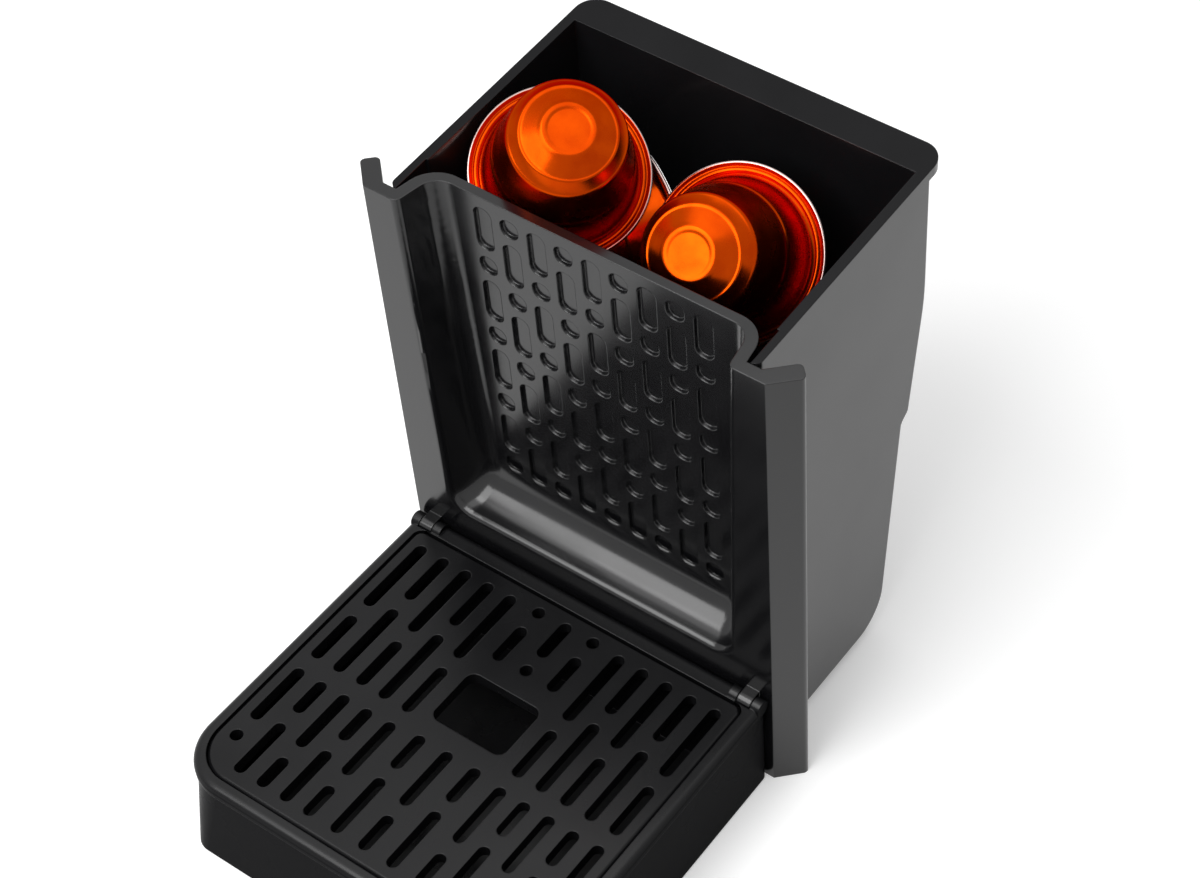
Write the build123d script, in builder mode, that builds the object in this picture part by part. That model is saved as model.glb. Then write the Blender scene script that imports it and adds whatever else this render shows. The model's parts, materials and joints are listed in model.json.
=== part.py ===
from build123d import *
from math import sqrt
import os

os.makedirs("parts", exist_ok=True)

# Used capsule bin of a slim capsule coffee machine, sizes in millimetres.
# X is to the right as seen from the front, Y goes back, Z goes up from the surface it stands on.
# The origin is on that surface, in the middle of the footprint.

# Overall
overall_width = 104.0
panel_height = 123.5
tray_reach = 81.2
bin_reach = 67.5
front_y = (tray_reach - bin_reach) / 2

# Front panel
plate_wall = 2.8
wing_run = 5.4
wing_wall = 3.9
wing_edge_round = 1.1
recess_depth = 9.8
recess_wall = 2.2
recess_floor = 35.2
recess_top_front = 39.3
recess_top_back = 37.2
recess_low_front = 37.8
recess_low_back = 33.0
recess_corner = 4.7
ledge_round = 9.5
land_edge_round = 1.6

# Brick pattern
brick_columns = 9
brick_rows = 4
brick_width = 4.4
brick_gap = 2.15
brick_long = 11.0
brick_short = 4.5
brick_corner = 1.9
brick_depth = 0.8
brick_draft = 18.0
brick_top = 120.6

# Base plate under the bin
base_half_width = 37.0
base_bottom = 0.6
base_wall = 2.4
base_corner = 6.0
base_stop_wall = 2.0
base_stop_height = 8.0
base_stop_half_width = 28.0
flange_wall = 2.6
flange_half_width = 30.0
flange_depth = 8.7
screw_row = 4.8
screw_pitch = 17.0
screw_count = 4
screw_thread_radius = 1.25
screw_head_radius = 2.5
screw_head_height = 1.25
screw_length = 4.6
screw_clearance = 0.15
pad_radius = 4.0
pad_recess = 0.8
pad_clearance = 0.1
base_pad_half_pitch = 29.0
base_pad_front = 16.0
base_pad_pitch = 23.0

# Capsule bin
bin_wall = 2.2
bin_fin_wall = 1.7
bin_fin_front = 3.3
bin_clearance = 0.5
bin_flank_gap = 0.1
bin_seat_gap = 0.3
bin_rim_front = 123.0
bin_rim_rise = 0.061
bin_rear_top = 61.7
bin_rear_bend = 92.0
bin_step_outer = 56.8
bin_step_inner = 54.3
bin_step_top = 62.8
bin_step_bottom = 61.0
bin_rear_low = 47.7
bin_rear_round = 60.0
bin_step_round = 1.6
bin_heel_round = 10.0
bin_edge_round = 1.0
bin_lip_wall = 2.4
bin_front_height = 98.0
drain_slot_length = 11.0
drain_slot_width = 2.4
drain_pitch_x = 15.0
drain_pitch_y = 6.0

# Drip tray
tray_set_in = 5.8
tray_rear = 0.3
tray_front = 80.6
tray_height = 27.6
tray_bottom = 0.5
tray_rim_height = 2.8
tray_rim_overhang = 0.65
tray_front_corner = 12.2
tray_low_corner = 4.7
tray_rear_corner = 1.5
tray_rim_round = 1.6
tray_floor = 1.9
tray_side = 2.8
tray_front_side = 2.8
tray_rear_side = 4.3
tray_ledge = 1.5
tray_pad_inset = 12.0

# Drip grid
grid_wall = 3.0
grid_clearance = 0.3
grid_corner = 9.0
grid_rear_corner = 2.0
grid_edge = 0.6
slot_width = 2.8
slot_gap = 3.6
slot_start = 8.0
slot_end = 74.6
inner_pitch = 7.2
outer_pitch = 6.15
long_first = (19.4, 13.1, 15.2)
short_first = (13.2, 19.4, 9.0)
drain_half_width = 9.4
drain_front = 42.2
drain_rear = 28.4
drain_corner = 2.2
drain_slot_gap = 4.7

# Tray hinge
hinge_radius = 1.9
hinge_gap = 0.3
hinge_side_gap = 0.2
hinge_lug_width = 3.2
hinge_cheek = 2.1
hinge_drop = 0.8
pin_radius = 1.0
pin_grip = 0.01
pin_running = 0.06
pin_end_cover = 0.8

# Capsules
rim_radius = 18.5
capsule_height = 28.7
shell_wall = 0.4
foil_wall = 0.3
body_radius = 15.0
shoulder_radius = 11.75
shoulder_height = 24.2
ring_radius = 9.25
ring_height = 26.3
plateau_radius = 5.3
edge_bevel = 0.4
rim_bead = 0.9
rim_dish = 0.6
ridge_height = 1.3
ridge_inset = 2.0
band_height = 11.0
band_step = 0.6
shell_draw = 1.0
shell_low = 2.4
grounds_fill = 19.0
grounds_clearance = 0.15

# Sizes that follow from the ones above
wing_tip = overall_width / 2 + wing_edge_round * (sqrt(2) - 1)
tray_half_width = overall_width / 2 - tray_set_in
hinge_lug_inner = tray_half_width - hinge_cheek - hinge_side_gap - hinge_lug_width
wing_slant = wing_wall / sqrt(2)
hinge_y = front_y - hinge_radius - hinge_gap
hinge_z = tray_height - hinge_drop
base_top = base_bottom + base_wall
base_pads_y = front_y + base_pad_front + base_pad_pitch / 2
tray_pad_pitch_x = 2 * (tray_half_width - tray_pad_inset)
tray_pad_pitch_y = tray_front - 2 * tray_pad_inset
bin_bottom = base_top + bin_seat_gap
bin_front = recess_depth + recess_wall + bin_clearance
bin_half_width = recess_top_front + recess_wall + bin_flank_gap + bin_fin_wall
bin_inner = bin_half_width - bin_wall
grid_top = tray_height
grid_bottom = grid_top - grid_wall
ledge_z = grid_bottom - grid_clearance
inner_low = body_radius - shell_draw
inner_high = shoulder_radius - shell_draw
inner_slope = (inner_low - inner_high) / (shoulder_height - shell_wall - shell_low)
grounds_top = inner_low - inner_slope * (grounds_fill - shell_low)


# Front panel: a plate with chamfered wings, and a scooped recess let into it
def recess_form(grow, front, top):
    """The recess as a solid, grown by a wall and reaching from a front plane up to a top plane."""
    low = recess_floor - grow
    share = (top - low) / (panel_height - recess_floor)
    top_front = recess_low_front + (recess_top_front - recess_low_front) * share + grow
    top_back = recess_low_back + (recess_top_back - recess_low_back) * share + grow
    back = front_y + recess_depth + grow
    with BuildPart(mode=Mode.PRIVATE) as form:
        with BuildSketch(Plane.XY.offset(low)):
            with BuildLine():
                Polyline(
                    (-recess_low_front - grow, front),
                    (recess_low_front + grow, front),
                    (recess_low_back + grow, back),
                    (-recess_low_back - grow, back),
                    close=True,
                )
            make_face()
        with BuildSketch(Plane.XY.offset(top)):
            with BuildLine():
                Polyline(
                    (-top_front, front),
                    (top_front, front),
                    (top_back, back),
                    (-top_back, back),
                    close=True,
                )
            make_face()
        loft(ruled=True)
        with BuildSketch(Plane.YZ.offset(-top_front)):
            with BuildLine():
                FilletPolyline(
                    (front, top),
                    (front, low),
                    (back, low),
                    (back, top),
                    radius=[0, 0, ledge_round + grow, 0],
                    close=True,
                )
            make_face()
        extrude(amount=2 * top_front, dir=(1, 0, 0), mode=Mode.INTERSECT)
        flanks = form.edges().filter_by(lambda e: abs(e.center().X) > recess_low_back / 2)
        flanks = flanks.filter_by(lambda e: e.center().Y > front + 0.01 and e.center().Z < top - 0.01)
        fillet(flanks, recess_corner + grow)
    return form.part


def brick_places():
    """Where each brick of the pattern goes, as (x, z of its middle, height), long and short by turns."""
    pitch = brick_width + brick_gap
    places = []
    for column in range(brick_columns):
        x = (column - (brick_columns - 1) / 2) * pitch
        top = brick_top
        for turn in range(2 * brick_rows):
            height = brick_long if (turn + column) % 2 == 0 else brick_short
            places.append((x, top - height / 2, height))
            top -= height + brick_gap
    return places


with BuildPart() as front_panel:
    with BuildSketch():
        with BuildLine():
            Polyline(
                (-wing_tip, front_y + wing_run),
                (-wing_tip + wing_run, front_y),
                (wing_tip - wing_run, front_y),
                (wing_tip, front_y + wing_run),
                (wing_tip - wing_slant, front_y + wing_run + wing_slant),
                (wing_tip - wing_run - 2 * wing_slant + plate_wall, front_y + plate_wall),
                (-wing_tip + wing_run + 2 * wing_slant - plate_wall, front_y + plate_wall),
                (-wing_tip + wing_slant, front_y + wing_run + wing_slant),
                close=True,
            )
        make_face()
    extrude(amount=panel_height)
    wing_tips = front_panel.edges().filter_by(Axis.Z).sort_by(lambda e: abs(e.center().X))[-4:]
    fillet(wing_tips, wing_edge_round)
    add(recess_form(recess_wall, front_y, panel_height))
    add(recess_form(0, front_y - plate_wall, panel_height + plate_wall), mode=Mode.SUBTRACT)
    mouth = front_panel.edges().filter_by(lambda e: abs(e.center().Y - front_y) < 0.01)
    mouth = mouth.filter_by(lambda e: recess_floor - 1 < e.center().Z < panel_height - 1)
    mouth = mouth.filter_by(lambda e: abs(e.center().X) < recess_top_front)
    fillet(mouth, land_edge_round)

    # Brick pattern sunk into the recessed face, each pocket drawn in a little towards its floor
    with BuildSketch(Plane(origin=(0, front_y + recess_depth, 0), x_dir=(-1, 0, 0), z_dir=(0, 1, 0))):
        for x, z, height in brick_places():
            with Locations((x, z)):
                RectangleRounded(brick_width, height, brick_corner)
    extrude(amount=brick_depth, taper=brick_draft, mode=Mode.SUBTRACT)

    # Flange behind the foot of the apron, which the base plate is screwed to
    with BuildSketch(Plane.XY.offset(base_top)):
        with Locations((0, front_y + plate_wall)):
            Rectangle(2 * flange_half_width, flange_depth, align=(Align.CENTER, Align.MIN))
    extrude(amount=flange_wall)
    with Locations(Plane(origin=(0, front_y + plate_wall + screw_row, base_top), z_dir=(0, 0, -1))):
        with GridLocations(screw_pitch, 1, screw_count, 1):
            Hole(screw_thread_radius, depth=flange_wall)

    # Hinge lugs on the lands, bored for the pins
    for side in (-1, 1):
        middle = side * (hinge_lug_inner + hinge_lug_width / 2)
        with BuildSketch(Plane(origin=(middle, hinge_y, hinge_z), x_dir=(0, 1, 0), z_dir=(1, 0, 0))):
            Circle(hinge_radius)
            Rectangle(front_y - hinge_y, 2 * hinge_radius, align=(Align.MIN, Align.CENTER))
            Circle(pin_radius + pin_grip, mode=Mode.SUBTRACT)
        extrude(amount=hinge_lug_width / 2, both=True)


# Hinge pins, pushed into the lugs
pin_length = hinge_lug_width + 2 * hinge_cheek + 2 * hinge_side_gap - 2 * pin_end_cover
with BuildPart() as hinge_pin_left:
    with BuildSketch(Plane.YZ.offset(-hinge_lug_inner - hinge_lug_width / 2)):
        with Locations((hinge_y, hinge_z)):
            Circle(pin_radius)
    extrude(amount=pin_length / 2, both=True)

with BuildPart() as hinge_pin_right:
    add(mirror(hinge_pin_left.part, about=Plane.YZ))


# Base plate: the tongue under the bin, with an upturned stop behind the bin's heel
base_front = front_y + plate_wall
base_rear = front_y + bin_rear_low + bin_seat_gap + base_stop_wall
with BuildPart() as base_plate:
    with BuildSketch(Plane.XY.offset(base_bottom)):
        with BuildLine():
            Polyline(
                (-base_half_width, base_front),
                (base_half_width, base_front),
                (base_half_width, base_rear),
                (-base_half_width, base_rear),
                close=True,
            )
        make_face()
    extrude(amount=base_wall)
    fillet(base_plate.edges().filter_by(Axis.Z).group_by(Axis.Y)[-1], base_corner)
    with BuildSketch(Plane.XY.offset(base_top)):
        with Locations((0, base_rear)):
            Rectangle(2 * base_stop_half_width, base_stop_wall, align=(Align.CENTER, Align.MAX))
    extrude(amount=base_stop_height - base_top)
    stop_ends = base_plate.edges().filter_by(Axis.Y).group_by(Axis.Z)[-1]
    fillet(stop_ends, base_stop_wall)
    with Locations(Plane(origin=(0, front_y + plate_wall + screw_row, base_bottom), z_dir=(0, 0, -1))):
        with GridLocations(screw_pitch, 1, screw_count, 1):
            CounterSinkHole(
                screw_thread_radius + screw_clearance,
                screw_head_radius + screw_clearance,
                depth=base_wall,
                counter_sink_angle=90,
            )
    with Locations(Plane(origin=(0, base_pads_y, base_bottom), z_dir=(0, 0, -1))):
        with GridLocations(2 * base_pad_half_pitch, base_pad_pitch, 2, 2):
            Hole(pad_radius + pad_clearance, depth=pad_recess)


# Countersunk screws that hold the base plate to the flange
with BuildPart() as base_screws:
    with Locations((0, front_y + plate_wall + screw_row, base_bottom)):
        with GridLocations(screw_pitch, 1, screw_count, 1):
            Cone(
                screw_head_radius,
                screw_head_radius - screw_head_height,
                screw_head_height,
                align=(Align.CENTER, Align.CENTER, Align.MIN),
            )
            Cylinder(
                screw_thread_radius - screw_clearance / 2,
                screw_length,
                align=(Align.CENTER, Align.CENTER, Align.MIN),
            )


# Rubber pads in the underside of the base plate
with BuildPart() as base_feet:
    with BuildSketch():
        with Locations((0, base_pads_y)):
            with GridLocations(2 * base_pad_half_pitch, base_pad_pitch, 2, 2):
                Circle(pad_radius)
    extrude(amount=base_bottom + pad_recess)


# Capsule bin: its side profile, inset by a wall for the inside
def rim_height(behind):
    """The height of the bin's sloping rim at a distance behind the front plane."""
    return bin_rim_front + bin_rim_rise * behind


def bin_profile(inset, over):
    """The bin seen from the side, with its stepped and rounded back, drawn in by an inset."""
    front = front_y + bin_front + inset
    rear_top = front_y + bin_rear_top - inset
    floor = bin_bottom + inset
    with BuildSketch(Plane.YZ.offset(inset - bin_half_width), mode=Mode.PRIVATE) as profile:
        with BuildLine():
            FilletPolyline(
                (rear_top, rim_height(bin_rear_top) + over),
                (rear_top, bin_rear_bend),
                (front_y + bin_step_outer - inset, bin_step_top),
                (front_y + bin_step_inner - inset, bin_step_bottom),
                (front_y + bin_rear_low - inset, floor),
                (front, floor),
                (front, rim_height(bin_front) + over),
                radius=[0, bin_rear_round, bin_step_round, bin_step_round, bin_heel_round - inset, 0, 0],
                close=True,
            )
        make_face()
    return profile.sketch


with BuildPart() as capsule_bin:
    add(bin_profile(0, 0))
    extrude(amount=2 * bin_half_width, dir=(1, 0, 0))
    side_edges = capsule_bin.edges().filter_by(lambda e: abs(e.center().X) > bin_half_width - 0.01)
    side_edges = side_edges.filter_by(lambda e: e.center().Z < rim_height(0) - 1)
    side_edges = side_edges.filter_by(lambda e: e.center().Y > front_y + bin_front + 0.01)
    fillet(side_edges, bin_edge_round)
    add(bin_profile(bin_wall, bin_wall))
    extrude(amount=2 * bin_inner, dir=(1, 0, 0), mode=Mode.SUBTRACT)

    # The side walls run on forward as thinner fins, past the front panel's flanks
    with BuildSketch(Plane.YZ.offset(-bin_half_width)):
        with BuildLine():
            Polyline(
                (front_y + bin_fin_front, bin_bottom),
                (front_y + bin_front + bin_wall, bin_bottom),
                (front_y + bin_front + bin_wall, rim_height(bin_front + bin_wall)),
                (front_y + bin_fin_front, rim_height(bin_fin_front)),
                close=True,
            )
        make_face()
    extrude(amount=2 * bin_half_width, dir=(1, 0, 0))
    with BuildSketch(Plane.XY.offset(bin_bottom)):
        with Locations((0, front_y)):
            Rectangle(2 * (bin_half_width - bin_fin_wall), bin_front, align=(Align.CENTER, Align.MIN))
    extrude(amount=rim_height(bin_rear_top), mode=Mode.SUBTRACT)
    fin_edges = capsule_bin.edges().filter_by(Axis.Z).group_by(Axis.Y)[0]
    fillet(fin_edges.group_by(Axis.X)[0] + fin_edges.group_by(Axis.X)[-1], bin_fin_wall * 0.9)

    # The front wall stops short of the rim, because the front panel closes the bin above it
    with BuildSketch(Plane.XY.offset(bin_front_height)):
        with Locations((0, front_y + bin_front)):
            Rectangle(2 * bin_inner, bin_wall, align=(Align.CENTER, Align.MIN))
    extrude(amount=rim_height(bin_rear_top), mode=Mode.SUBTRACT)

    # A lip along the top of the back, to lift the bin by
    with BuildSketch(Plane.YZ.offset(-bin_half_width)):
        with BuildLine():
            Polyline(
                (front_y + bin_rear_top - bin_wall, rim_height(bin_rear_top - bin_wall)),
                (front_y + bin_rear_top - bin_wall, rim_height(bin_rear_top) - bin_lip_wall),
                (front_y + bin_reach, rim_height(bin_reach) - bin_lip_wall),
                (front_y + bin_reach, rim_height(bin_reach)),
                close=True,
            )
        make_face()
    extrude(amount=2 * bin_half_width, dir=(1, 0, 0))
    lip_corners = capsule_bin.edges().group_by(Axis.Y)[-1].filter_by(lambda e: e.length < 2 * bin_lip_wall)
    fillet(lip_corners, bin_reach - bin_rear_top - 1)

    # Drain slots through the floor
    floor_middle = front_y + (bin_front + bin_rear_low - bin_heel_round) / 2
    with BuildSketch(Plane.XY.offset(bin_bottom)):
        with Locations((0, floor_middle)):
            with GridLocations(drain_pitch_x, drain_pitch_y, 4, 3):
                SlotOverall(drain_slot_length, drain_slot_width)
    extrude(amount=bin_wall, mode=Mode.SUBTRACT)


# Drip tray: a tub whose corners tighten towards its foot, under a rim with a seat for the grid
def tray_outline(inset, corner, rear_corner, z, bulge=0.0):
    """The tray seen from above, drawn in by an inset, as a sketch at a height."""
    half = tray_half_width - inset
    rear = front_y - tray_rear
    front = front_y - tray_front + inset - bulge
    with BuildSketch(Plane.XY.offset(z), mode=Mode.PRIVATE) as outline:
        with BuildLine():
            FilletPolyline(
                (-half, rear),
                (half, rear),
                (half, front),
                (-half, front),
                radius=[rear_corner, rear_corner, corner, corner],
                close=True,
            )
        make_face()
    return outline.sketch


def seat_outline(grow, corner, rear_corner, z):
    """The grid's place in the tray seen from above, grown by a clearance, at a height."""
    half = tray_half_width - tray_side - grid_clearance + grow
    rear = front_y - tray_rear_side - grid_clearance + grow
    front = front_y - tray_front + tray_front_side + grid_clearance - grow
    with BuildSketch(Plane.XY.offset(z), mode=Mode.PRIVATE) as outline:
        with BuildLine():
            FilletPolyline(
                (-half, rear),
                (half, rear),
                (half, front),
                (-half, front),
                radius=[rear_corner + grow, rear_corner + grow, corner + grow, corner + grow],
                close=True,
            )
        make_face()
    return outline.sketch


rim_base = tray_height - tray_rim_height
with BuildPart() as drip_tray:
    add(tray_outline(tray_rim_overhang, tray_front_corner - tray_rim_overhang, tray_rear_corner, rim_base))
    add(tray_outline(tray_rim_overhang, tray_low_corner, tray_rear_corner, tray_bottom, tray_rim_overhang * 2))
    loft(ruled=True)
    add(tray_outline(0, tray_front_corner, tray_rear_corner, rim_base))
    extrude(amount=tray_rim_height)
    rim_edges = drip_tray.edges().group_by(Axis.Z)[-1]
    rim_edges = rim_edges.filter_by(lambda e: e.center().Y < front_y - tray_rear_side)
    fillet(rim_edges, tray_rim_round)
    add(seat_outline(grid_clearance, grid_corner, grid_rear_corner, tray_height))
    extrude(amount=ledge_z - tray_height, mode=Mode.SUBTRACT)
    add(seat_outline(grid_clearance - tray_ledge, grid_corner, grid_rear_corner, ledge_z))
    extrude(amount=tray_bottom + tray_floor - ledge_z, mode=Mode.SUBTRACT)
    with Locations(Plane(origin=(0, front_y - tray_front / 2, tray_bottom), z_dir=(0, 0, -1))):
        with GridLocations(tray_pad_pitch_x, tray_pad_pitch_y, 2, 2):
            Hole(pad_radius + pad_clearance, depth=pad_recess)

    # Notches for the lugs at the rear corners, between two cheeks that hold the pin
    for side in (-1, 1):
        middle = side * (hinge_lug_inner + hinge_lug_width / 2)
        gap = hinge_lug_width + 2 * hinge_side_gap
        with BuildSketch(Plane(origin=(middle, hinge_y, hinge_z), x_dir=(0, 1, 0), z_dir=(1, 0, 0))):
            Circle(hinge_radius)
        extrude(amount=gap / 2 + hinge_cheek, both=True)
        with BuildSketch(Plane(origin=(middle, hinge_y, hinge_z), x_dir=(0, 1, 0), z_dir=(1, 0, 0))):
            Circle(hinge_radius + hinge_gap)
            with Locations((hinge_radius, 0)):
                Rectangle(2 * hinge_radius, 2 * (hinge_radius + hinge_gap))
        extrude(amount=gap / 2, both=True, mode=Mode.SUBTRACT)
        with BuildSketch(Plane(origin=(middle, hinge_y, hinge_z), x_dir=(0, 1, 0), z_dir=(1, 0, 0))):
            Circle(pin_radius + pin_running)
        extrude(amount=pin_length / 2, both=True, mode=Mode.SUBTRACT)


# Rubber pads in the underside of the tray
with BuildPart() as tray_feet:
    with BuildSketch():
        with Locations((0, front_y - tray_front / 2)):
            with GridLocations(tray_pad_pitch_x, tray_pad_pitch_y, 2, 2):
                Circle(pad_radius)
    extrude(amount=tray_bottom + pad_recess)


# Drip grid: a plate with rows of slots, long and short by turns, around a square drain
def slot_runs(column):
    """The slots of one column as (start, end) distances from the front plane."""
    if column == 0:
        return [(slot_start - 0.6, 17.6), (drain_front + drain_slot_gap, 62.0), (65.4, slot_end)]
    if column == 1:
        return [(13.4, 23.4), (drain_front + drain_slot_gap, 56.2), (59.4, slot_end)]
    lengths = long_first if column % 2 == 0 else short_first
    runs = []
    start = slot_start
    for length in lengths:
        runs.append((start, start + length))
        start += length + slot_gap
    if column < 6:
        runs.append((start, slot_end))
    return runs


def slot_dots(column):
    """The round holes of one column, as distances from the front plane."""
    return {0: [22.0], 1: [8.6], 6: [67.8]}.get(column, [])


with BuildPart() as drip_grid:
    add(seat_outline(0, grid_corner, grid_rear_corner, grid_bottom))
    extrude(amount=grid_wall)
    chamfer(drip_grid.edges().group_by(Axis.Z)[-1], grid_edge)
    with BuildSketch(Plane.XY.offset(grid_bottom)):
        for column in range(7):
            x = column * inner_pitch if column < 3 else 2 * inner_pitch + (column - 2) * outer_pitch
            for sign in (-1, 1):
                if column == 0 and sign < 0:
                    continue
                for start, end in slot_runs(column):
                    with Locations((sign * x, front_y - (start + end) / 2)):
                        SlotOverall(end - start, slot_width, rotation=90)
                for y in slot_dots(column):
                    with Locations((sign * x, front_y - y)):
                        Circle(slot_width / 2)
        with Locations((0, front_y - (drain_front + drain_rear) / 2)):
            RectangleRounded(2 * drain_half_width, drain_front - drain_rear, drain_corner)
    extrude(amount=grid_wall, mode=Mode.SUBTRACT)


# One spent capsule in its own frame: rim on the XY plane, dome upwards
with BuildPart() as spent_shell:
    with BuildSketch(Plane.XZ):
        with BuildLine():
            Polyline(
                (body_radius - edge_bevel, 0),
                (rim_radius - edge_bevel, 0),
                (rim_radius, rim_bead / 2),
                (rim_radius - edge_bevel, rim_bead),
                (rim_radius - 3 * edge_bevel, rim_dish),
                (rim_radius - ridge_inset, ridge_height),
                (body_radius + edge_bevel, ridge_height + edge_bevel),
                (body_radius, shell_low),
                (body_radius - band_step, band_height),
                (body_radius - 2 * band_step, band_height + band_step),
                (shoulder_radius + edge_bevel, shoulder_height - 3 * edge_bevel),
                (shoulder_radius - edge_bevel, shoulder_height),
                (ring_radius, ring_height),
                (plateau_radius + edge_bevel, capsule_height - edge_bevel),
                (plateau_radius, capsule_height),
                (0, capsule_height),
                (0, capsule_height - shell_wall),
                (plateau_radius, capsule_height - shell_wall),
                (inner_high, shoulder_height - shell_wall),
                (inner_low, shell_low),
                close=True,
            )
        make_face()
    revolve(axis=Axis.Z)

with BuildPart() as spent_foil:
    with BuildSketch(Plane.XY.offset(-foil_wall)):
        Circle(rim_radius - 0.6)
    extrude(amount=foil_wall)

with BuildPart() as spent_grounds:
    with BuildSketch(Plane.XZ):
        with BuildLine():
            Polyline(
                (0, 0),
                (inner_low - grounds_clearance, 0),
                (inner_low - grounds_clearance, shell_low),
                (grounds_top - grounds_clearance, grounds_fill),
                (0, grounds_fill),
                close=True,
            )
        make_face()
    revolve(axis=Axis.Z)


# Where the capsules lie: middle of the rim, and the way the dome points
low_y = front_y + bin_front + bin_wall + bin_seat_gap + foil_wall
low_z = bin_bottom + bin_wall + bin_seat_gap + rim_radius
side_x = rim_radius + bin_seat_gap
pile_side = -bin_inner
pile_back = front_y + bin_rear_top - bin_wall
resting_places = {
    "left": ((pile_side + 17.7, pile_back - 29.1, 115.6), (0.41, -0.33, 0.85)),
    "right": ((pile_side + 54.6, pile_back - 20.9, 106.7), (0.14, -0.73, 0.665)),
    "under": ((pile_side + 28.16, pile_back - 14.48, 95.74), (-0.465, -0.884, 0.05)),
    "lower_left": ((-side_x, low_y, low_z), (0, 1, 0)),
    "lower_right": ((side_x, low_y, low_z), (0, 1, 0)),
    "middle_left": ((-side_x, low_y, low_z + 2 * side_x), (0, 1, 0)),
    "middle_right": ((side_x, low_y, low_z + 2 * side_x), (0, 1, 0)),
}

for place_name, (centre, pointing) in resting_places.items():
    place = Plane(origin=centre, z_dir=pointing).location
    for form, piece_name in ((spent_shell, "shell"), (spent_foil, "foil"), (spent_grounds, "grounds")):
        with BuildPart() as capsule_piece:
            with Locations(place):
                add(form.part)
        capsule_piece.part.label = f"capsule_{place_name}_{piece_name}"
        export_step(capsule_piece.part, f"parts/{capsule_piece.part.label}.step")


front_panel.part.label = "front_panel"
hinge_pin_left.part.label = "hinge_pin_left"
hinge_pin_right.part.label = "hinge_pin_right"
base_plate.part.label = "base_plate"
base_screws.part.label = "base_screws"
base_feet.part.label = "base_feet"
capsule_bin.part.label = "capsule_bin"
drip_tray.part.label = "drip_tray"
tray_feet.part.label = "tray_feet"
drip_grid.part.label = "drip_grid"

export_step(front_panel.part, "parts/front_panel.step")
export_step(hinge_pin_left.part, "parts/hinge_pin_left.step")
export_step(hinge_pin_right.part, "parts/hinge_pin_right.step")
export_step(base_plate.part, "parts/base_plate.step")
export_step(base_screws.part, "parts/base_screws.step")
export_step(base_feet.part, "parts/base_feet.step")
export_step(capsule_bin.part, "parts/capsule_bin.step")
export_step(drip_tray.part, "parts/drip_tray.step")
export_step(tray_feet.part, "parts/tray_feet.step")
export_step(drip_grid.part, "parts/drip_grid.step")
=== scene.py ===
"""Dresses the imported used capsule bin: finishes, spent capsules, a plain studio and the camera.

Sizes are in millimetres in the dataclasses and become metres where a mesh is made.
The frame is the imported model's: +X to the right, +Y to the back, +Z up from the worktop.
"""

import json
import logging
import math
from collections.abc import Iterable
from dataclasses import dataclass, field, replace
from enum import Enum

import bpy
from mathutils import Matrix, Vector

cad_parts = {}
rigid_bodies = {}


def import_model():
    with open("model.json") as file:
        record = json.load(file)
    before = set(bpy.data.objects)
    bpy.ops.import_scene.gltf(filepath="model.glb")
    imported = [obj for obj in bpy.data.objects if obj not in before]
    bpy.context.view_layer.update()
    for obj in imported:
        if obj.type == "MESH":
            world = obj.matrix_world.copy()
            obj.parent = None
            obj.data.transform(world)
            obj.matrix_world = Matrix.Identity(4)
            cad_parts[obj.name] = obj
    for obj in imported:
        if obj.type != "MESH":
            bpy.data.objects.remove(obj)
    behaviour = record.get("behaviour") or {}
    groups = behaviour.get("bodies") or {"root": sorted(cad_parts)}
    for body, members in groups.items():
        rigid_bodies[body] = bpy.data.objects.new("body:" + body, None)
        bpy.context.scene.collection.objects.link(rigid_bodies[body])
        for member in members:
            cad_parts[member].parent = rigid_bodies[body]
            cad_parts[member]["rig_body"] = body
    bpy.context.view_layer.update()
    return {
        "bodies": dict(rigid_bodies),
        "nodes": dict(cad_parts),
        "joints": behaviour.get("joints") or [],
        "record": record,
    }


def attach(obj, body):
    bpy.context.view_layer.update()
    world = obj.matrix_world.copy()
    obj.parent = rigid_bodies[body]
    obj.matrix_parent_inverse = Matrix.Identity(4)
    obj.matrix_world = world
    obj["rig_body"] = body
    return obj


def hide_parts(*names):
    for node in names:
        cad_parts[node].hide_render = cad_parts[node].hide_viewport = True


MM = 0.001
WHITE = (1.0, 1.0, 1.0, 1.0)
LOG = logging.getLogger("used_capsule_bin")

Point = tuple[float, float]
Outline = tuple[Point, ...]


class Tone(Enum):
    """Base colours of the finishes, as linear red, green and blue."""

    PIANO_BLACK = (0.0030, 0.0030, 0.0034)
    SMOKE_BLACK = (0.0042, 0.0042, 0.0047)
    SATIN_BLACK = (0.0034, 0.0034, 0.0038)
    PAD_BLACK = (0.030, 0.030, 0.032)
    BRIGHT_STEEL = (0.62, 0.62, 0.64)
    TANGERINE = (0.46, 0.046, 0.0010)
    EMBER = (0.27, 0.013, 0.0006)
    EDGE_RED = (0.62, 0.10, 0.03)
    BARE_ALUMINIUM = (0.86, 0.85, 0.84)
    ROSE_ALUMINIUM = (0.46, 0.36, 0.34)
    WET_GROUNDS = (0.020, 0.010, 0.006)
    DRY_GROUNDS = (0.075, 0.040, 0.022)
    PAPER_WHITE = (0.86, 0.86, 0.86)


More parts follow.
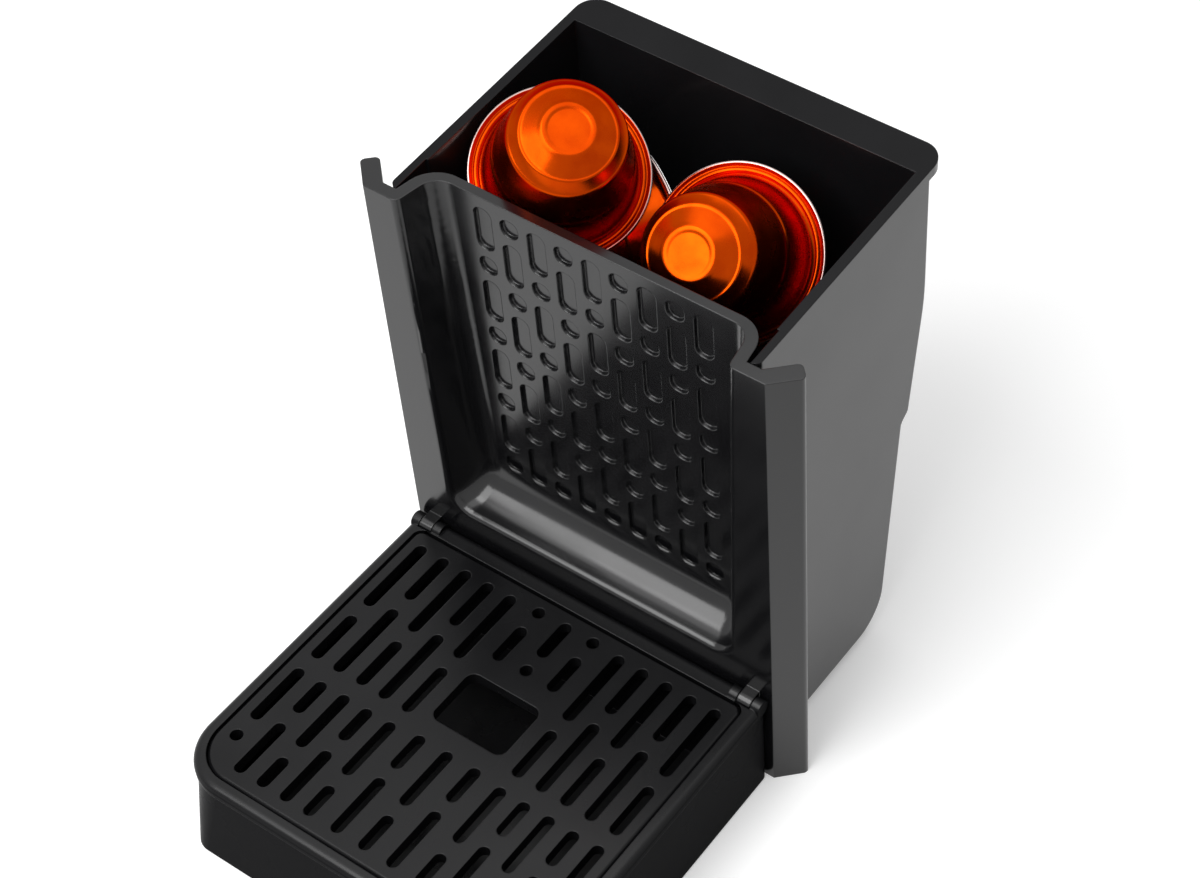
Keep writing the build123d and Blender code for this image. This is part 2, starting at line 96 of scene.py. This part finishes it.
class Graph:
    """A node tree, with short calls to add, join and read its nodes."""

    def __init__(self, tree: bpy.types.NodeTree) -> None:
        """Takes the tree.

        Args:
            tree: the node tree of a material or of the world.
        """
        self.tree = tree

    def feed(self, socket: bpy.types.NodeSocket, value: object) -> None:
        """Sets one input, by value or by a link.

        Args:
            socket: the input.
            value: its value, or the socket that feeds it.
        """
        if isinstance(value, bpy.types.NodeSocket):
            self.tree.links.new(value, socket)
        else:
            socket.default_value = value

    def put(self, node: bpy.types.Node, **values: object) -> None:
        """Sets a node's inputs by their names.

        Args:
            node: the node to set.
            values: input names with underscores for spaces, and their values or sockets.
        """
        for name, value in values.items():
            self.feed(node.inputs[name.replace("_", " ")], value)

    def add(self, kind: str, **values: object) -> bpy.types.Node:
        """Adds a node and sets its inputs.

        Args:
            kind: the node's type without its ShaderNode prefix.
            values: input names with underscores for spaces, and their values or sockets.

        Returns:
            The new node.
        """
        node = self.tree.nodes.new("ShaderNode" + kind)
        self.put(node, **values)
        return node

    def maths(self, operation: str, first: object, second: object) -> bpy.types.NodeSocket:
        """Adds a calculation with two numbers.

        Args:
            operation: the Math node's operation.
            first: a value or a socket.
            second: a value or a socket.

        Returns:
            The result.
        """
        node = self.add("Math")
        node.operation = operation
        self.feed(node.inputs[0], first)
        self.feed(node.inputs[1], second)
        return node.outputs["Value"]

    def seen(self) -> bpy.types.NodeSocket:
        """Returns a factor that is 1 for what the camera sees, directly or in a gloss or glass."""
        path = self.add("LightPath").outputs
        reflected = self.maths("MAXIMUM", path["Is Camera Ray"], path["Is Glossy Ray"])
        return self.maths("MAXIMUM", reflected, path["Is Transmission Ray"])


class Paint(Graph):
    """One material's nodes, round its Principled shader."""

    NOISE_LOW = 0.3
    NOISE_HIGH = 0.7
    UPRIGHT = 0.15
    LOOKS_UP = 0.9
    BEVEL_SAMPLES = 6

    def __init__(self, name: str) -> None:
        """Starts a material with its Principled shader.

        Args:
            name: the material's name.
        """
        self.material = bpy.data.materials.new(name)
        self.material.use_nodes = True
        super().__init__(self.material.node_tree)
        self.shader = self.tree.nodes["Principled BSDF"]

    def place(self) -> bpy.types.NodeSocket:
        """Returns the object coordinates, in metres in the part's frame."""
        return self.add("TexCoord").outputs["Object"]

    def noise(self, vector: bpy.types.NodeSocket, size: float, detail: float = 2.0) -> bpy.types.NodeSocket:
        """Adds a noise pattern.

        Args:
            vector: the coordinates that it follows.
            size: about how wide one patch is, in millimetres.
            detail: how many finer layers it has.

        Returns:
            The pattern's factor.
        """
        return self.add("TexNoise", Vector=vector, Scale=1.0 / (size * MM), Detail=detail).outputs["Fac"]

    def ramp(
        self, factor: bpy.types.NodeSocket, ends: tuple[float, float], low: float, high: float
    ) -> bpy.types.NodeSocket:
        """Maps a stretch of a factor to two values.

        Args:
            factor: the factor.
            ends: where the stretch begins and ends.
            low: the value at its beginning and below.
            high: the value at its end and above.

        Returns:
            The mapped value.
        """
        node = self.add("MapRange", Value=factor, From_Min=ends[0], From_Max=ends[1], To_Min=low, To_Max=high)
        return node.outputs["Result"]

    def span(self, factor: bpy.types.NodeSocket, low: float, high: float) -> bpy.types.NodeSocket:
        """Maps the middle of a noise's range to two values.

        Args:
            factor: the noise.
            low: what its lower values become.
            high: what its upper values become.

        Returns:
            The mapped value.
        """
        return self.ramp(factor, (self.NOISE_LOW, self.NOISE_HIGH), low, high)

    def by_slope(self, wall: float, top: float) -> bpy.types.NodeSocket:
        """Returns a value that passes from upright faces to faces that look up.

        Args:
            wall: the value on upright faces.
            top: the value on faces that look up.

        Returns:
            The value.
        """
        normal = self.add("NewGeometry").outputs["Normal"]
        up = self.add("SeparateXYZ", Vector=normal).outputs["Z"]
        return self.ramp(up, (self.UPRIGHT, self.LOOKS_UP), wall, top)

    def blend(
        self, factor: bpy.types.NodeSocket, first: tuple[float, ...], second: tuple[float, ...]
    ) -> bpy.types.NodeSocket:
        """Mixes two colours.

        Args:
            factor: how much of the second colour shows.
            first: the first colour.
            second: the second colour.

        Returns:
            The mixed colour.
        """
        ramp = self.add("ValToRGB", Fac=factor)
        ramp.color_ramp.elements[0].color = (*first, 1.0)
        ramp.color_ramp.elements[1].color = (*second, 1.0)
        return ramp.outputs["Color"]

    def relief(
        self, height: bpy.types.NodeSocket, depth: float, normal: bpy.types.NodeSocket | None = None
    ) -> bpy.types.NodeSocket:
        """Adds a bump.

        Args:
            height: the pattern.
            depth: the relief's depth in millimetres.
            normal: a normal that it starts from.

        Returns:
            The new normal.
        """
        bump = self.add("Bump", Height=height, Distance=depth * MM, Strength=1.0)
        if normal is not None:
            self.put(bump, Normal=normal)
        return bump.outputs["Normal"]

    def soft_edges(self, radius: float) -> bpy.types.NodeSocket:
        """Returns a normal that rounds sharp edges over a radius in millimetres."""
        bevel = self.add("Bevel", Radius=radius * MM)
        bevel.samples = self.BEVEL_SAMPLES
        return bevel.outputs["Normal"]


def scaled(tone: Tone, share: float) -> tuple[float, ...]:
    """Makes a tone's colour paler or duller.

    Args:
        tone: the tone.
        share: what each channel is multiplied by.

    Returns:
        The colour.
    """
    return tuple(channel * share for channel in tone.value)


@dataclass(frozen=True)
class MouldedPlastic:
    """Injection-moulded plastic: a tone, a gloss with hazy patches, a fine grain and a slight waviness."""

    name: str
    tone: Tone
    lift: float = 1.6
    roughness: float = 0.2
    haze: float = 0.05
    index: float = 1.5
    top_index: float = 1.3
    patch: float = 18.0
    grain: float = 0.25
    grain_depth: float = 0.004
    wave: float = 14.0
    wave_depth: float = 0.01
    edge: float = 0.35

    def material(self) -> bpy.types.Material:
        """Returns the finished material."""
        paint = Paint(self.name)
        place = paint.place()
        patches = paint.noise(place, self.patch, 3.0)
        normal = paint.soft_edges(self.edge)
        normal = paint.relief(paint.noise(place, self.wave, 1.0), self.wave_depth, normal)
        normal = paint.relief(paint.noise(place, self.grain, 3.0), self.grain_depth, normal)
        paint.put(
            paint.shader,
            Base_Color=paint.blend(patches, self.tone.value, scaled(self.tone, self.lift)),
            Roughness=paint.span(patches, self.roughness - self.haze, self.roughness + self.haze),
            IOR=paint.by_slope(self.index, self.top_index),
            Normal=normal,
        )
        return paint.material


@dataclass(frozen=True)
class DrawnAluminium:
    """Lacquered sheet aluminium, drawn in a press: fine rings round the axis, and deeper patches."""

    name: str
    tone: Tone
    deep: Tone
    edge: Tone
    smoothest: float = 0.21
    roughest: float = 0.30
    cloud: float = 5.0
    deepest: float = 0.45
    line: float = 0.16
    line_depth: float = 0.011
    line_stretch: float = 2.0

    def material(self) -> bpy.types.Material:
        """Returns the finished material."""
        paint = Paint(self.name)
        along = paint.add("UVMap").outputs["UV"]
        stretched = paint.add("Mapping", Vector=along, Scale=(self.line_stretch, 1.0, 1.0)).outputs["Vector"]
        clouds = paint.noise(paint.place(), self.cloud, 3.0)
        paint.put(
            paint.shader,
            Base_Color=paint.blend(paint.span(clouds, 0.0, self.deepest), self.tone.value, self.deep.value),
            Metallic=1.0,
            Specular_Tint=(*self.edge.value, 1.0),
            Roughness=paint.span(clouds, self.smoothest, self.roughest),
            Normal=paint.relief(paint.noise(stretched, self.line), self.line_depth),
        )
        return paint.material


@dataclass(frozen=True)
class BareMetal:
    """Uncoated metal with a fine brushed grain and hazy patches."""

    name: str
    tone: Tone
    smoothest: float = 0.17
    roughest: float = 0.30
    patch: float = 3.0
    dull: float = 0.75
    grain: float = 0.3
    grain_depth: float = 0.01

    def material(self) -> bpy.types.Material:
        """Returns the finished material."""
        paint = Paint(self.name)
        place = paint.place()
        patches = paint.noise(place, self.patch)
        paint.put(
            paint.shader,
            Base_Color=paint.blend(patches, scaled(self.tone, self.dull), self.tone.value),
            Metallic=1.0,
            Roughness=paint.span(patches, self.smoothest, self.roughest),
            Normal=paint.relief(paint.noise(place, self.grain, 3.0), self.grain_depth),
        )
        return paint.material


@dataclass(frozen=True)
class PadRubber:
    """Matt black rubber with a sandy texture."""

    name: str = "pad_rubber_matt"
    tone: Tone = Tone.PAD_BLACK
    lift: float = 1.8
    roughness: float = 0.85
    patch: float = 4.0
    grain: float = 0.4
    grain_depth: float = 0.05

    def material(self) -> bpy.types.Material:
        """Returns the finished material."""
        paint = Paint(self.name)
        place = paint.place()
        patches = paint.noise(place, self.patch)
        paint.put(
            paint.shader,
            Base_Color=paint.blend(patches, self.tone.value, scaled(self.tone, self.lift)),
            Roughness=self.roughness,
            Normal=paint.relief(paint.noise(place, self.grain, 3.0), self.grain_depth),
        )
        return paint.material


@dataclass(frozen=True)
class CoffeeGrounds:
    """Damp coffee grounds: dark crumbs of mixed tone with a rough surface."""

    name: str = "damp_grounds"
    wet: Tone = Tone.WET_GROUNDS
    dry: Tone = Tone.DRY_GROUNDS
    smoothest: float = 0.45
    roughest: float = 0.8
    crumb: float = 0.6
    crumb_depth: float = 0.3
    patch: float = 0.9

    def material(self) -> bpy.types.Material:
        """Returns the finished material."""
        paint = Paint(self.name)
        place = paint.place()
        crumbs = paint.add("TexVoronoi", Vector=place, Scale=1.0 / (self.crumb * MM)).outputs["Distance"]
        tint = paint.noise(place, self.patch, 4.0)
        paint.put(
            paint.shader,
            Base_Color=paint.blend(tint, self.wet.value, self.dry.value),
            Roughness=paint.span(tint, self.smoothest, self.roughest),
            Normal=paint.relief(crumbs, self.crumb_depth),
        )
        return paint.material


@dataclass
class Finishes:
    """The finishes of this object, each made once."""

    made: dict[str, bpy.types.Material] = field(default_factory=dict)

    def build(self) -> None:
        """Makes every material."""
        satin = MouldedPlastic(
            "satin_tray", Tone.SATIN_BLACK, roughness=0.28, index=1.04, top_index=1.34, grain_depth=0.005
        )
        recipes = (
            MouldedPlastic(
                "gloss_panel",
                Tone.PIANO_BLACK,
                roughness=0.18,
                haze=0.04,
                index=1.46,
                top_index=1.5,
                grain_depth=0.0006,
            ),
            MouldedPlastic("smoke_bin", Tone.SMOKE_BLACK, index=1.47, top_index=1.2, grain_depth=0.001),
            satin,
            replace(satin, name="satin_grid", roughness=0.26, index=1.2, top_index=1.3),
            MouldedPlastic("satin_plate", Tone.SATIN_BLACK, roughness=0.42, grain=0.4, grain_depth=0.02),
            DrawnAluminium("orange_shell", Tone.TANGERINE, Tone.EMBER, Tone.EDGE_RED),
            BareMetal("bare_rim", Tone.ROSE_ALUMINIUM),
            BareMetal("capsule_foil", Tone.BARE_ALUMINIUM, smoothest=0.25, roughest=0.38),
            BareMetal("pin_steel", Tone.BRIGHT_STEEL),
            PadRubber(),
            CoffeeGrounds(),
        )
        for recipe in recipes:
            self.made[recipe.name] = recipe.material()

    def give(self, piece: bpy.types.Object, *names: str) -> None:
        """Replaces a piece's materials.

        Args:
            piece: the object to dress.
            names: the finishes for its material slots, in order.
        """
        piece.data.materials.clear()
        for name in names:
            piece.data.materials.append(self.made[name])


def start_clean() -> None:
    """Leaves nothing selected and no edit mode open, so that an operator acts on the new piece alone."""
    if bpy.context.object is not None and bpy.context.object.mode != "OBJECT":
        bpy.ops.object.mode_set(mode="OBJECT")
    bpy.ops.object.select_all(action="DESELECT")


def centre_of_area(node: bpy.types.Object) -> Vector:
    """Returns the centre of a node's surface, which lies on the axis of a turned piece."""
    total = 0.0
    centre = Vector()
    for face in node.data.polygons:
        centre += face.center * face.area
        total += face.area
    return centre / total


def arc(centre: Point, across: float, up: float, degrees: Iterable[int]) -> list[Point]:
    """Places points on an arc of an outline.

    Args:
        centre: the radius and height of the arc's centre.
        across: its radius across.
        up: its radius upwards.
        degrees: where its points are, counted from straight out towards straight up.

    Returns:
        The points.
    """
    turns = [math.radians(degree) for degree in degrees]
    return [(centre[0] + across * math.cos(turn), centre[1] + up * math.sin(turn)) for turn in turns]


def around(corner: Point, steps: Outline) -> list[Point]:
    """Places the points of an outline round one of its corners.

    Args:
        corner: the corner's radius and height.
        steps: how far each point lies out and up from it.

    Returns:
        The points.
    """
    return [(corner[0] + out, corner[1] + up) for out, up in steps]


@dataclass(frozen=True)
class CapsuleShape:
    """The drawn shell of one capsule, in its own frame: rim on the XY plane, dome upwards."""

    rim_radius: float = 18.4
    curl_radius: float = 0.42
    curl_lift: float = 0.03
    flange_run: float = 0.55
    flange_height: float = 0.42
    bead_radius: float = 16.55
    bead_half_width: float = 0.6
    bead_rise: float = 0.55
    body_radius: float = 15.0
    body_foot: Outline = ((0.75, 0.5), (0.35, 0.75), (0.1, 1.35), (0.0, 2.4))
    step_radius: float = 13.95
    step_height: float = 11.2
    step_crest: Outline = ((0.12, -0.9), (0.05, -0.45), (-0.18, -0.2))
    step_groove: Outline = ((-0.3, 0.15), (-0.22, 0.5), (-0.35, 1.1))
    shoulder_radius: float = 11.8
    shoulder_height: float = 23.9
    shoulder_round: float = 1.25
    shoulder_start: Outline = ((0.37, -3.55),)
    ring_radius: float = 9.35
    ring_height: float = 26.15
    ring_crest: Outline = ((0.4, -0.33), (0.16, -0.06), (-0.06, 0.02))
    ring_groove: Outline = ((-0.22, -0.04), (-0.5, 0.1), (-0.8, 0.24))
    plateau_radius: float = 5.3
    height: float = 28.6
    plateau_edge: Outline = ((0.9, -0.62), (0.45, -0.4), (0.12, -0.12), (-0.2, -0.01), (-0.5, 0.0))
    plateau_ring: Outline = ((-0.9, -0.02), (-1.15, -0.11), (-1.45, -0.13))
    plateau_middle: Outline = ((2.0, -0.05), (1.0, -0.03), (0.0, -0.025))
    wall: float = 0.25
    turns: int = 144
    merge_gap: float = 0.01
    crease: float = 50.0

    def profile(self) -> list[Point]:
        """Returns the outline, as radius and height, from the rim's curl to the middle of the plateau."""
        curl = (self.rim_radius - self.curl_radius, self.curl_radius + self.curl_lift)
        bead = (self.bead_radius, self.flange_height)
        step = (self.step_radius, self.step_height)
        shoulder = (self.shoulder_radius - self.shoulder_round, self.shoulder_height - self.shoulder_round)
        ring = (self.ring_radius, self.ring_height)
        plateau = (self.plateau_radius, self.height)
        return [
            *arc(curl, self.curl_radius, self.curl_radius, range(-120, 121, 30)),
            (curl[0] - self.flange_run, self.flange_height),
            *arc(bead, self.bead_half_width, self.bead_rise, range(0, 181, 30)),
            *around((self.body_radius, 0.0), self.body_foot),
            *around(step, self.step_crest),
            *around(step, self.step_groove),
            *around((self.shoulder_radius, self.shoulder_height), self.shoulder_start),
            *arc(shoulder, self.shoulder_round, self.shoulder_round, range(6, 67, 10)),
            *around(ring, self.ring_crest),
            *around(ring, self.ring_groove),
            *around(plateau, self.plateau_edge),
            *around(plateau, self.plateau_ring),
            *around((0.0, self.height), self.plateau_middle),
        ]

    def build(self, name: str, place: Matrix) -> bpy.types.Object:
        """Turns the profile into a shell with a wall, and puts it in its place.

        Args:
            name: the piece's name.
            place: where its own frame stands in the part's frame.

        Returns:
            The finished piece.
        """
        start_clean()
        points = self.profile()
        bpy.ops.mesh.primitive_plane_add(size=MM, location=(0, 0, 0))
        piece = bpy.context.object
        piece.name = name
        bpy.ops.object.mode_set(mode="EDIT")
        bpy.ops.mesh.select_all(action="SELECT")
        bpy.ops.mesh.merge(type="CENTER")
        start = points[0]
        bpy.ops.transform.translate(value=(start[0] * MM, 0, start[1] * MM))
        for before, after in zip(points, points[1:]):
            move = ((after[0] - before[0]) * MM, 0, (after[1] - before[1]) * MM)
            bpy.ops.mesh.extrude_vertices_move(TRANSFORM_OT_translate={"value": move})
        bpy.ops.mesh.select_all(action="SELECT")
        bpy.ops.mesh.spin(steps=self.turns, angle=math.tau, center=(0, 0, 0), axis=(0, 0, 1))
        bpy.ops.mesh.select_all(action="SELECT")
        bpy.ops.mesh.remove_doubles(threshold=self.merge_gap * MM)
        bpy.ops.mesh.normals_make_consistent(inside=False)
        bpy.ops.object.mode_set(mode="OBJECT")
        self.unwrap(piece)
        wall = piece.modifiers.new("wall", "SOLIDIFY")
        wall.thickness = self.wall * MM
        wall.offset = -1.0
        bpy.ops.object.modifier_apply(modifier=wall.name)
        bpy.ops.object.shade_smooth_by_angle(angle=math.radians(self.crease))
        piece.data.transform(place)
        piece.data.update()
        return piece

    def unwrap(self, piece: bpy.types.Object) -> None:
        """Gives the shell a map: across it the way round, scaled to metres, and along it the height.

        Args:
            piece: the turned shell, still in its own frame.
        """
        layer = piece.data.uv_layers.new(name="UVMap")
        for loop in piece.data.loops:
            point = piece.data.vertices[loop.vertex_index].co
            across = math.hypot(point.x, point.y)
            layer.data[loop.index].uv = (across, point.z - across)


@dataclass
class SpentCapsules:
    """The capsules in the bin: a detailed shell for each, and finishes for their foil and grounds."""

    finishes: Finishes
    shape: CapsuleShape = field(default_factory=CapsuleShape)

    def places(self, nodes: dict[str, bpy.types.Object]) -> dict[str, Matrix]:
        """Finds where each capsule lies from its packed shell and foil, whose middles are both on its axis.

        Args:
            nodes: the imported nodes.

        Returns:
            Each capsule's frame, by its name.
        """
        found = {}
        for name in sorted(nodes):
            if name.startswith("capsule_") and name.endswith("_shell"):
                capsule = name.removesuffix("_shell")
                rim = centre_of_area(nodes[capsule + "_foil"])
                axis = (centre_of_area(nodes[name]) - rim).normalized()
                turn = Vector((0, 0, 1)).rotation_difference(axis)
                found[capsule] = Matrix.Translation(rim) @ turn.to_matrix().to_4x4()
        return found

    def build(self, frame: dict) -> None:
        """Builds and dresses every capsule.
        """
        nodes = frame["nodes"]
        for capsule, place in self.places(nodes).items():
            shell = nodes[capsule + "_shell"]
            piece = self.shape.build(capsule + "_drawn_shell", place)
            self.finishes.give(piece, "orange_shell", "bare_rim")
            self.silver_rim(piece, place)
            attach(piece, shell["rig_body"])
            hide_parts(capsule + "_shell")
            self.finishes.give(nodes[capsule + "_foil"], "capsule_foil")
            self.finishes.give(nodes[capsule + "_grounds"], "damp_grounds")
            LOG.info("%s: %d faces", piece.name, len(piece.data.polygons))

    def silver_rim(self, piece: bpy.types.Object, place: Matrix) -> None:
        """Leaves the curled edge of a shell bare.

        Args:
            piece: the shell, in its place.
            place: its own frame.
        """
        back = place.inverted()
        inner = (self.shape.rim_radius - self.shape.curl_radius) * MM
        for face in piece.data.polygons:
            point = back @ face.center
            if math.hypot(point.x, point.y) > inner:
                face.material_index = 1


@dataclass
class MouldedParts:
    """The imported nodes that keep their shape, and the finish that each gets."""

    finishes: Finishes
    finish_of: dict[str, str] = field(
        default_factory=lambda: {
            "front_panel": "gloss_panel",
            "capsule_bin": "smoke_bin",
            "drip_tray": "satin_tray",
            "drip_grid": "satin_grid",
            "base_plate": "satin_plate",
            "base_screws": "pin_steel",
            "hinge_pin_left": "pin_steel",
            "hinge_pin_right": "pin_steel",
            "base_feet": "pad_rubber_matt",
            "tray_feet": "pad_rubber_matt",
        }
    )

    def dress(self, frame: dict) -> None:
        """Dresses the nodes.
        """
        for name, finish in self.finish_of.items():
            self.finishes.give(frame["nodes"][name], finish)
            LOG.info("%s: %s", name, finish)


@dataclass(frozen=True)
class SoftBox:
    """One square soft box, turned to the object. Sizes in millimetres, power in watts."""

    name: str
    place: tuple[float, float, float]
    size: float
    power: float
    aim: tuple[float, float, float] = (0.0, 0.0, 60.0)

    def hang(self) -> None:
        """Hangs the lamp in its place."""
        data = bpy.data.lights.new(self.name, "AREA")
        data.shape = "SQUARE"
        data.size = self.size * MM
        data.energy = self.power
        lamp = bpy.data.objects.new(self.name, data)
        bpy.context.scene.collection.objects.link(lamp)
        lamp.location = Vector(self.place) * MM
        lamp.rotation_euler = (Vector(self.aim) * MM - lamp.location).to_track_quat("-Z", "Y").to_euler()


@dataclass(frozen=True)
class Studio:
    """A white floor, a plain white surround and soft boxes."""

    floor_size: float = 6000.0
    floor_tone: Tone = Tone.PAPER_WHITE
    floor_roughness: float = 0.9
    floor_sheen: float = 0.1
    glow: float = 0.28
    ambient: float = 0.36
    boxes: tuple[SoftBox, ...] = (
        SoftBox("overhead", (-60.0, 20.0, 900.0), 900.0, 3.2),
        SoftBox("front", (-115.0, -450.0, 660.0), 620.0, 6.2),
    )

    def build(self) -> None:
        """Builds the floor, the surround and the lamps."""
        self.floor()
        self.surround()
        for box in self.boxes:
            box.hang()

    def floor(self) -> None:
        """Lays the floor, which seems white to the camera and keeps the shadow."""
        start_clean()
        bpy.ops.mesh.primitive_plane_add(size=self.floor_size * MM, location=(0, 0, 0))
        plane = bpy.context.object
        plane.name = "studio_floor"
        paint = Paint("studio_paper")
        paint.put(
            paint.shader,
            Base_Color=(*self.floor_tone.value, 1.0),
            Roughness=self.floor_roughness,
            Specular_IOR_Level=self.floor_sheen,
            Emission_Color=WHITE,
            Emission_Strength=paint.maths("MULTIPLY", paint.seen(), self.glow),
        )
        plane.data.materials.append(paint.material)

    def surround(self) -> None:
        """Makes the world white where it is seen, and softer where it only lights."""
        world = bpy.data.worlds.new("studio_surround")
        bpy.context.scene.world = world
        world.use_nodes = True
        world.node_tree.nodes.clear()
        graph = Graph(world.node_tree)
        lights = graph.add("Background", Color=WHITE, Strength=self.ambient)
        shows = graph.add("Background", Color=WHITE)
        mix = graph.add("MixShader", Fac=graph.seen())
        graph.feed(mix.inputs[1], lights.outputs["Background"])
        graph.feed(mix.inputs[2], shows.outputs["Background"])
        graph.add("OutputWorld", Surface=mix.outputs["Shader"])


@dataclass(frozen=True)
class Viewpoint:
    """The photograph's camera, as fitted to the edges of the front panel, tray and bin."""

    eye: tuple[float, float, float] = (231.8, -251.1, 464.25)
    azimuth: float = 33.858
    elevation: float = 47.952
    image_width: float = 1200.0
    image_height: float = 878.0
    focal_pixels: float = 2602.19
    centre_pixel: tuple[float, float] = (819.4, 425.5)
    sensor_width: float = 36.0
    nearest: float = 0.01
    farthest: float = 20.0

    def build(self) -> None:
        """Makes the camera and gives it to the scene."""
        data = bpy.data.cameras.new("photo_view")
        data.sensor_width = self.sensor_width
        data.lens = self.sensor_width * self.focal_pixels / self.image_width
        data.shift_x = (self.image_width / 2 - self.centre_pixel[0]) / self.image_width
        data.shift_y = (self.centre_pixel[1] - self.image_height / 2) / self.image_width
        data.clip_start = self.nearest
        data.clip_end = self.farthest
        camera = bpy.data.objects.new("photo_view", data)
        bpy.context.scene.collection.objects.link(camera)
        azimuth, elevation = math.radians(self.azimuth), math.radians(self.elevation)
        back = Vector((
            math.sin(azimuth) * math.cos(elevation),
            -math.cos(azimuth) * math.cos(elevation),
            math.sin(elevation),
        ))
        camera.location = Vector(self.eye) * MM
        camera.rotation_mode = "QUATERNION"
        camera.rotation_quaternion = (-back).to_track_quat("-Z", "Y")
        bpy.context.scene.camera = camera


def main() -> None:
    """Builds the scene in order: the frame, the finishes, the pieces, the studio and the camera."""
    logging.basicConfig(level=logging.INFO, format="%(name)s: %(message)s")
    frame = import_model()
    bpy.context.scene.view_settings.view_transform = "Standard"
    finishes = Finishes()
    finishes.build()
    MouldedParts(finishes).dress(frame)
    SpentCapsules(finishes).build(frame)
    Studio().build()
    Viewpoint().build()


if __name__ == "__main__":
    main()
